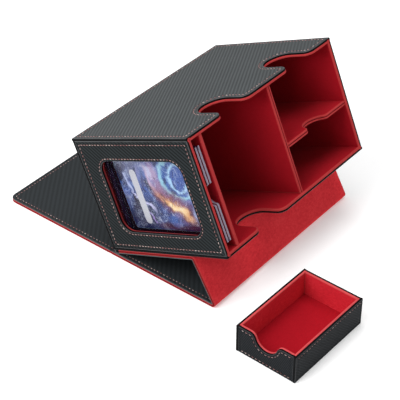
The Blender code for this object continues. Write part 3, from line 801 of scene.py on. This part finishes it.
# Darker suede in the grooves where two rounded rims meet: painted shade.
SUEDE_SHADE = suede("suede_painted_shade", (0.12, 0.004, 0.006), (0.18, 0.007, 0.01),
                   (0.25, 0.012, 0.016), 0.2)
# Suede of the tray walls: a lighter copy of the lining suede, painted light.
TRAY_SUEDE = suede("suede_tray", (0.40, 0.01, 0.02), (0.58, 0.018, 0.032),
                   (0.70, 0.04, 0.055), 0.34)
# Lighter tray rims: partly the nap pressed over the fold, partly painted light.
TRAY_SUEDE_RIM = suede("suede_tray_rim", (0.38, 0.038, 0.042), (0.52, 0.064, 0.068),
                       (0.68, 0.1, 0.1), 0.2)
# Suede of the cover: the lightest copy of the lining suede, painted light where it faces the lamps.
COVER_SUEDE = suede("suede_cover", (0.50, 0.016, 0.024), (0.70, 0.032, 0.042),
                    (0.82, 0.06, 0.068), 0.42)
THREAD = thread()
BOARD = fibre_board("fibre_board", (0.45, 0.36, 0.26))
MAGNET = magnet_plate()
PANE = clear_sheet("clear_pane", 0.018, 0.2, (0.05, 0.05, 0.07))
# The sleeve's faint violet colour is a painted bluish reflection.
SLEEVE_PLASTIC = clear_sheet("clear_sleeve", 0.02, 0.2, (0.05, 0.03, 0.10))
SLEEVE_WELD = clear_sheet("clear_sleeve_weld", 0.6, 0.1, (0.035, 0.012, 0.05))
SLEEVE_EDGE = clear_sheet("clear_sleeve_edge", 0.75, 0.2, (0.34, 0.29, 0.38))
CARD_ART = card_art()
CARD_LABEL = card_label()
LINING = [SUEDE, SUEDE_RIM, SUEDE_SHADE]


# -------- box

LEFT_BAY = (SLOT_DIVIDER[1] + CENTRE_DIVIDER[0] - BOX_W) / 2
RIGHT_BAY = (CENTRE_DIVIDER[1] - INSIDE) / 2
HALF_W = BOX_W / 2
TOP_NOTCHES = (deep_notch(LEFT_BAY), deep_notch(RIGHT_BAY))
BOTTOM_NOTCH = deep_notch(-LEFT_BAY)


def wall(name, outline, place, leather, holes=(), hole_rows=()):
    """Leather-wrapped wall with stitches round it and its holes; w = 0 is its outer face."""
    shape = sheet_shape([outline, *holes], leather_profile(-WALL_T, 0.0, STITCH_INSET))
    dress(name + "_leather", shape, [leather, EDGE_LEATHER, SHADE_LEATHER], place, "box", "leather",
          name + "_skin")
    rows = [(row, True) for row in (outline(STITCH_INSET), *hole_rows)]
    stitch_rows(name + "_stitches", rows, WALL_THREAD, place, "box")


def build_walls():
    """The five leather walls; the back and the ends stand between the top and the bottom."""
    top = panel(-HALF_W, -BOX_D, HALF_W, 0, *TOP_NOTCHES)
    wall("top_wall", top, in_box(UP, z=BOX_H), TOP_LEATHER_LIT)
    bottom = panel(-HALF_W, -BOX_D, HALF_W, 0, BOTTOM_NOTCH)
    wall("bottom_wall", bottom, BOX @ DOWN, SIDE_LEATHER_SHADED)
    low, high = WALL_T - SEAM_LAP, BOX_H - WALL_T + SEAM_LAP
    back = panel(-HALF_W, low, HALF_W, high)
    wall("back_wall", back, BOX @ BACK, SIDE_LEATHER_SHADED)
    plain = panel(-BOX_D, low, SEAM_LAP - WALL_T, high)
    wall("plain_end", plain, in_box(RIGHT, HALF_W), SIDE_LEATHER_SHADED)
    build_window_end(low, high)


def window_outline(grow=0.0):
    """Window in the left-facing frame, where u is the distance in front of the back."""
    return rounded(WINDOW_BACK - grow, WINDOW_BOTTOM - grow, BOX_D - WINDOW_FRONT + grow,
                   BOX_H - WINDOW_TOP + grow, WINDOW_R + grow, WINDOW_R + grow)


def build_window_end(low, high):
    """End wall with the window: the hole's border is narrower than the wall's own."""
    place = in_box(LEFT, -HALF_W)
    outline = panel(WALL_T - SEAM_LAP, low, BOX_D, high)
    window = window_outline()
    shrink = WINDOW_STITCH_INSET / STITCH_INSET
    wall("window_end", outline, place, SIDE_LEATHER_SHADED, [lambda inset: window(-inset * shrink)],
         [window(-WINDOW_STITCH_INSET)])

    shape = sheet_shape([window_outline(PANE_OVERLAP)], plain_profile(*PANE_SHEET))
    dress("window_pane_film", shape, [PANE, PANE], place, "box", "clear_sheet", "window_pane")
    lining = panel(INSIDE, LINER_END, BOX_D, BOX_H - LINER_END)
    shape = sheet_shape([proud(lining), hole(lambda inset: window(inset - WINDOW_LINER_BACK))],
                        plain_profile(WINDOW_LINER_DEPTH, -RIM_START, LINER_ROUND))
    dress("window_end_suede", shape, LINING, place, "box", "suede", "window_end_lining")


def build_linings():
    """Suede liners with soft round front edges."""
    side = HALF_W - LINER_END
    thick = plain_profile(0.0, INSIDE - RIM_START, LINER_ROUND)

    def liner(name, outline, place, profile=thick):
        dress(name + "_suede", sheet_shape([proud(outline)], profile), LINING, place, "box",
              "suede", name + "_lining")

    liner("top", panel(-side, -BOX_D, side, -BACK_LINER, *TOP_NOTCHES),
          in_box(UP, z=BOX_H - INSIDE))
    liner("bottom", panel(-side, -BOX_D, side, -BACK_LINER, BOTTOM_NOTCH), in_box(DOWN, z=INSIDE))
    liner("back", panel(-side, INSIDE, side, BOX_H - INSIDE), in_box(BACK, y=-INSIDE),
          plain_profile(0.0, INSIDE - BACK_LINER, BACK_LINER_ROUND))
    liner("plain_end", panel(-BOX_D, LINER_END, -INSIDE, BOX_H - LINER_END),
          in_box(RIGHT, HALF_W - INSIDE))


def build_dividers():
    """Suede-wrapped slot divider, and the centre divider and shelf of two leaves each."""
    def sheet(name, node, outline, place, *profile):
        dress(name, sheet_shape([outline], plain_profile(*profile)), LINING, place, "box",
              "suede", node)

    def leaves(low_node, high_node, outline, place, low, high):
        middle = (low + high) / 2
        # Where the two leaves meet, their rounds take the darker finish, painted shade in the groove
        # between them.
        sheet(low_node + "_leaf", low_node, outline, place, low, middle, LEAF_ROUND, EDGE, SEAM)
        sheet(high_node + "_leaf", high_node, outline, place, middle, high, LEAF_ROUND, SEAM, EDGE)

    front, back = -BOX_D + DIVIDER_SETBACK, -INSIDE
    stand = panel(front, INSIDE, back, BOX_H - INSIDE)
    upright = in_box(RIGHT, -HALF_W)
    sheet("slot_divider_wrap", "slot_divider_suede", stand, upright, *SLOT_DIVIDER, LINER_ROUND)
    leaves("centre_divider_left", "centre_divider_right", stand, upright, *CENTRE_DIVIDER)
    shelf = panel(CENTRE_DIVIDER[1] - HALF_W, front, HALF_W - INSIDE, back,
                  round_notch(RIGHT_BAY, SHELF_NOTCH))
    leaves("shelf_lower", "shelf_upper", shelf, BOX @ UP, *SHELF_Z)


# -------- cover

def cover_stretches():
    """The folded cover's middle line from the rear panel to the flap: lines and left turns.

    Each stretch is (start, end, point, heading, radius); radius is None on a line."""
    rear_heading = math.pi - TILT
    brace_heading = math.atan2(FRONT_AXIS.z - BRACE_AXIS.z, FRONT_AXIS.y - BRACE_AXIS.y)
    reach = math.hypot(BRACE_AXIS.y - FRONT_AXIS.y, BRACE_AXIS.z - FRONT_AXIS.z)
    brace_heading += math.tau - math.asin(FRONT_FOLD_R / reach)
    trim = BRACE_FOLD_R * math.tan((brace_heading - rear_heading) / 2)
    rear_length = (BRACE_AXIS - REAR_AXIS).length - REAR_END_GAP - trim
    brace_length = math.sqrt(reach ** 2 - FRONT_FOLD_R ** 2) - trim
    flat_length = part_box("flap_skin")[1].y - FRONT_AXIS.y
    stretches = []
    start = 0.0
    at = (REAR_AXIS.y + REAR_END_GAP * math.cos(rear_heading),
          REAR_AXIS.z + REAR_END_GAP * math.sin(rear_heading))
    heading = rear_heading
    for length, radius in ((rear_length, None), (brace_heading - rear_heading, BRACE_FOLD_R),
                           (brace_length, None), (math.tau - brace_heading, FRONT_FOLD_R),
                           (flat_length, None)):
        size = length if radius is None else length * radius
        stretches.append((start, start + size, at, heading, radius))
        at = cover_line(stretches[-1], size, 0.0)
        start += size
        if radius is not None:
            heading += length
    return stretches


def cover_line(stretch, run, rise):
    """Point (y, z) at a run along a stretch, and a rise off it to the leather side."""
    _, _, at, heading, radius = stretch
    if radius is None:
        return (at[0] + run * math.cos(heading) - rise * math.sin(heading),
                at[1] + run * math.sin(heading) + rise * math.cos(heading))
    turned = heading + run / radius
    return (at[0] - radius * math.sin(heading) + (radius - rise) * math.sin(turned),
            at[1] + radius * math.cos(heading) - (radius - rise) * math.cos(turned))


STRETCHES = cover_stretches()
BRACE_FOLD = STRETCHES[1]
FRONT_FOLD = STRETCHES[3]
COVER_END = STRETCHES[-1][1]
CREASE_S = STRETCHES[-1][0] + CREASE.y - FRONT_AXIS.y
BRACE_MIDDLE = (STRETCHES[2][0] + STRETCHES[2][1]) / 2
FRONT_MIDDLE = (STRETCHES[4][0] + CREASE_S) / 2


def on_cover(x, s, n):
    """Point of the folded cover at distance s along it and n off its middle."""
    stretch = next((st for st in STRETCHES if s <= st[1]), STRETCHES[-1])
    y, z = cover_line(stretch, s - stretch[0], n)
    return Vector((MIDDLE_X + x, y, z))


def score(s, n):
    """Groove pressed into both sides of the cover at the crease."""
    depth = CREASE_DEPTH * math.exp(-((s - CREASE_S) / CREASE_SPREAD) ** 2)
    if n > HALF_T - CREASE_SKIN:
        return n - depth
    return n + depth if n < -HALF_T + CREASE_SKIN else n


def fold_lines():
    """Distances along the cover where its sheets need a line of points to bend."""
    lines = []
    for start, end, *_ in (BRACE_FOLD, FRONT_FOLD):
        lines += [start + (end - start) * i / FOLD_STEPS for i in range(FOLD_STEPS + 1)]
        lines += [start - BEND_MARGIN, end + BEND_MARGIN]
    half = CREASE_STEPS // 2
    return lines + [CREASE_S + CREASE_REACH * (i / half - 1) for i in range(CREASE_STEPS + 1)]


# Parts of each layer: name, start, end, the two bodies that it joins, and its fold
COVER_PARTS = (("rear", 0.0, BRACE_MIDDLE, ("rear_panel", "brace"), BRACE_FOLD[:2]),
               ("brace", BRACE_MIDDLE, FRONT_MIDDLE, ("brace", "base"), FRONT_FOLD[:2]),
               ("flap", FRONT_MIDDLE, COVER_END, ("base", "flap"),
                (CREASE_S - CREASE_REACH, CREASE_S + CREASE_REACH)))


def cut_across(shape, s, keep=0):
    """Cuts a flat sheet along a line of constant s; keep = -1 or 1 drops the other side."""
    everything = shape.verts[:] + shape.edges[:] + shape.faces[:]
    cut = bmesh.ops.bisect_plane(shape, geom=everything, dist=1e-7, plane_co=(0, s, 0),
                                 plane_no=(0, 1, 0), clear_outer=keep < 0, clear_inner=keep > 0)
    if keep:
        rim = [e for e in cut["geom_cut"] if isinstance(e, bmesh.types.BMEdge)]
        bmesh.ops.holes_fill(shape, edges=rim)


def cover_piece(name, shape, finishes, bodies, fold):
    """A part of the cover, fixed in its folded shape."""
    bmesh.ops.recalc_face_normals(shape, faces=shape.faces)
    made = add_piece(name, shape, finishes)
    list(bodies)
    on_cover(0, fold[0], 0)
    on_cover(0, fold[1], 0)
    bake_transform(made)
    return made


def cover_layer(name, profile, finishes, stands_for):
    """One layer of the cover, cut into three parts, each bent over one fold."""
    outline = rounded(-COVER_W / 2, 0.0, COVER_W / 2, COVER_END, REAR_CORNER_R, FLAP_CORNER_R)
    for part, low, high, bodies, fold in COVER_PARTS:
        shape = sheet_shape([outline], profile)
        for s in fold_lines():
            cut_across(shape, s)
        if low > 0:
            cut_across(shape, low, 1)
        if high < COVER_END:
            cut_across(shape, high, -1)
        for vert in shape.verts:
            x, s, n = vert.co
            vert.co = on_cover(x, s, score(s, n))
        made = cover_piece(f"{name}_{part}", shape, finishes, bodies, fold)
        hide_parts(*stands_for[part])


def cover_stitches():
    """Stitches round the whole cover, in three pieces laid along its folded shape."""
    inset = STITCH_INSET
    side = COVER_W / 2 - inset
    for part, start, end, bodies, fold in COVER_PARTS:
        shape = bmesh.new()
        s0, s1 = max(start, inset), min(end, COVER_END - inset)
        if part == "flap":
            r = FLAP_CORNER_R - inset
            rows = [[(side, s0)] + arc((side - r, s1 - r), r, 0, 90, CORNER_STEPS)
                    + arc((-side + r, s1 - r), r, 90, 180, CORNER_STEPS) + [(-side, s0)]]
        else:
            rows = [[(sign * side, s0), (sign * side, s1)] for sign in (-1, 1)]
            if part == "rear":
                rows.append([(-side, s0), (side, s0)])
        for row in rows:
            sew(shape, row, False, COVER_THREAD, on_cover)
        cover_piece("cover_stitches_" + part, shape, [THREAD], bodies, fold)


def build_cover():
    """Leather and suede layers of the folded cover, their stitches and the rear hinge strip."""
    cover_layer("cover_leather",
                leather_profile(LEATHER_LOW, HALF_T, STITCH_INSET, COVER_LEATHER_FOLD, True),
                [COVER_LEATHER, EDGE_LEATHER, SHADE_LEATHER],
                {"rear": ["rear_panel_skin"], "brace": ["brace_skin"],
                 "flap": ["front_panel_skin", "flap_skin", "flap_fold"]})
    cover_layer("cover_suede",
                doubled_profile(-HALF_T, LEATHER_LOW - LAYER_GAP, COVER_SUEDE_ROUND),
                [COVER_SUEDE, SUEDE_RIM, SUEDE_SHADE],
                {"rear": ["rear_panel_suede", "brace_fold"], "brace": ["brace_suede", "front_fold"],
                 "flap": ["front_panel_suede", "flap_suede"]})
    cover_stitches()
    build_rear_strip()


def build_rear_strip():
    """Leather hinge strip from under the rear panel up to the back edge of the box."""
    turn = Matrix.Translation(REAR_AXIS) @ Matrix.Rotation(-TILT, 4, "X")
    bends = [math.radians(-90 + 90 * i / FOLD_STEPS) for i in range(FOLD_STEPS + 1)]
    path = [[(-REAR_STRIP_LAP, -r) for r in REAR_STRIP]]
    path += [[(r * math.cos(a), r * math.sin(a)) for r in REAR_STRIP] for a in bends]
    path.append([(r, HALF_T + GAP) for r in REAR_STRIP])
    half = COVER_W / 2
    shape = bmesh.new()
    rings = []
    for outer, inner in path:
        corners = ((-half, outer), (half, outer), (half, inner), (-half, inner))
        rings.append([shape.verts.new(turn @ Vector((x, *spot))) for x, spot in corners])
    loft(shape, rings)
    bmesh.ops.recalc_face_normals(shape, faces=shape.faces)
    made = add_piece("rear_hinge_strip", shape, [EDGE_LEATHER])
    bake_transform(made)
    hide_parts("rear_fold")


# -------- sleeve and card

def build_sleeve():
    """Clear rigid sleeve and the card in it."""
    lie = axes((0, 0, -1), (0, 1, 0))
    place = in_box(lie, -HALF_W, -BOX_D + SLEEVE_SETBACK, BOX_H / 2)
    face = panel(-SLEEVE_HALF_H, 0.0, SLEEVE_HALF_H, SLEEVE_LENGTH, round_notch(0.0, THUMB_NOTCH))
    for name, *profile in SLEEVE_SHEETS:
        shape = sheet_shape([face], plain_profile(*profile))
        for rim in shape.faces:
            if rim.calc_center_median().y > SLEEVE_PALE_RIM_REACH:
                rim.material_index = FACE
        dress(name + "_film", shape, [SLEEVE_PLASTIC, SLEEVE_EDGE], place, "sleeve", "clear_sheet",
              name)
    shape = sheet_shape([rounded(*CARD, CARD_R, CARD_R)], plain_profile(*CARD_SHEET))
    dress("display_card_print", shape, [CARD_ART, CARD_LABEL], place, "card", "card", "display_card")
    shape = sheet_shape([rounded(*LABEL, LABEL_R, LABEL_R)], plain_profile(*LABEL_SHEET))
    dress("display_card_label", shape, [CARD_LABEL, CARD_LABEL], place, "card", "card")


# -------- tray

def build_tray():
    """Open tray: leather outside with stitched rims, suede inside, a notch at its left end."""
    half_l, half_w = TRAY_L / 2, TRAY_W / 2
    rim = TRAY @ Matrix.Translation((0, 0, TRAY_H))
    outside = leather_profile(-TRAY_LEATHER_T, 0.0, TRAY_STITCH_INSET, TRAY_LEATHER_FOLD)
    inside = plain_profile(-TRAY_LINING_T, TRAY_LAP, TRAY_LINING_ROUND)
    inset = TRAY_STITCH_INSET
    for name, along_side in (("front", (-1, 0, 0)), ("back", (1, 0, 0)),
                             ("notch_end", (0, 1, 0)), ("plain_end", (0, -1, 0))):
        notches = [round_notch(0.0, TRAY_NOTCH)] if name == "notch_end" else []
        lie = axes(along_side, (0, 0, -1))
        out = lie.col[2].xyz
        if name in ("front", "back"):
            reach, offset, lining_end = half_l, half_w, TRAY_LEATHER_T
        else:
            reach, offset, lining_end = half_w - TRAY_LEATHER_T, half_l, TRAY_LINING_T
        place = rim @ Matrix.Translation(out * offset) @ lie
        outline = panel(-reach, 0.0, reach, TRAY_H, *notches)
        dress(f"tray_{name}_leather", sheet_shape([outline], outside),
              [TRAY_LEATHER, TRAY_EDGE, SHADE_LEATHER], place, "tray", "leather", f"tray_{name}_skin")
        rows = [(front_edge(outline, len(notches), inset), False)]
        if notches:
            foot = TRAY_H - inset
            rows.append(([(inset - reach, foot), (reach - inset, foot)], False))
        stitch_rows(f"tray_{name}_stitches", rows, TRAY_THREAD, place, "tray", TRAY_THREAD_THICK)

        place = rim @ Matrix.Translation(out * (offset - TRAY_LEATHER_T)) @ lie
        run = reach - lining_end
        lining = panel(-run, 0.0, run, TRAY_H - TRAY_LINING_FOOT, *notches)
        dress(f"tray_{name}_suede", sheet_shape([proud(lining)], inside),
              [TRAY_SUEDE, TRAY_SUEDE_RIM], place, "tray", "suede", f"tray_{name}_lining")

    def plate(name, finishes, slot, node, inset, *profile):
        """Flat sheet that reaches this far inside the tray's outline."""
        outline = panel(inset - half_l, inset - half_w, half_l - inset, half_w - inset)
        shape = sheet_shape([outline], plain_profile(*profile))
        dress(name, shape, finishes, TRAY @ UP, "tray", slot, node)

    plate("tray_base_leather", [TRAY_LEATHER, EDGE_LEATHER, SHADE_LEATHER], "leather",
          "tray_base_skin", TRAY_BASE_INSET, *TRAY_BASE)
    plate("tray_floor_suede", LINING, "suede", "tray_floor_lining", TRAY_FLOOR_INSET, *TRAY_FLOOR)


# -------- CAD pieces that stay

def finish_kept_nodes():
    """Boards, magnets and the sleeve's weld keep their shape and get a finished material."""
    for name, node in frame["nodes"].items():
        if node.hide_render:
            continue
        finish = BOARD
        if "magnet" in name:
            finish = MAGNET
        elif name == "sleeve_edge_weld":
            finish = SLEEVE_WELD
        node.data.materials.clear()
        node.data.materials.append(finish)


# -------- studio

def area_light(name, at, target_height, size, power):
    """Round lamp that points at a height over the middle, and isn't seen itself."""
    light = bpy.data.lights.new(name, "AREA")
    light.shape = "DISK"
    light.size = size
    light.energy = power
    lamp = bpy.data.objects.new(name, light)
    bpy.context.scene.collection.objects.link(lamp)
    lamp.location = at
    lamp.visible_camera = False
    aim = Vector((0, 0, target_height)) - Vector(at)
    lamp.rotation_euler = aim.to_track_quat("-Z", "Y").to_euler()


def build_studio():
    """White floor, white surround, and soft light from the left, above and in front."""
    shape = bmesh.new()
    bmesh.ops.create_grid(shape, x_segments=1, y_segments=1, size=FLOOR_HALF)
    shader = Shader("studio_floor")
    paper = shader.noise(60, 2.0)
    shader.set(Base_Color=shader.ramp(paper, (0.0, (0.9, 0.9, 0.9)), (1.0, (0.93, 0.93, 0.93))),
               Roughness=0.9, Specular_IOR_Level=0.1,
               Emission_Color=(1, 1, 1, 1), Emission_Strength=FLOOR_GLOW)
    floor = add_piece("studio_floor", shape, [shader.material],
                      Matrix.Translation((0, 0, -FLOOR_DROP)))
    world = bpy.data.worlds.new("studio")
    bpy.context.scene.world = world
    world.use_nodes = True
    background = world.node_tree.nodes["Background"]
    background.inputs["Color"].default_value = (1, 1, 1, 1)
    background.inputs["Strength"].default_value = WORLD_GLOW
    for light in LIGHTS:
        area_light(*light)


def build_camera():
    """Camera on the left in front of the box, looking down on it."""
    camera = bpy.data.objects.new("camera", bpy.data.cameras.new("camera"))
    camera.data.lens = LENS_MM
    camera.data.clip_start, camera.data.clip_end = 0.05, 50.0
    camera.location = CAMERA_AT
    camera.rotation_euler = [math.radians(turn) for turn in CAMERA_TURN]
    bpy.context.scene.collection.objects.link(camera)
    bpy.context.scene.camera = camera


build_camera()
build_walls()
build_linings()
build_dividers()
build_cover()
build_sleeve()
build_tray()
finish_kept_nodes()
build_studio()
bpy.context.scene.view_settings.view_transform = "Standard"
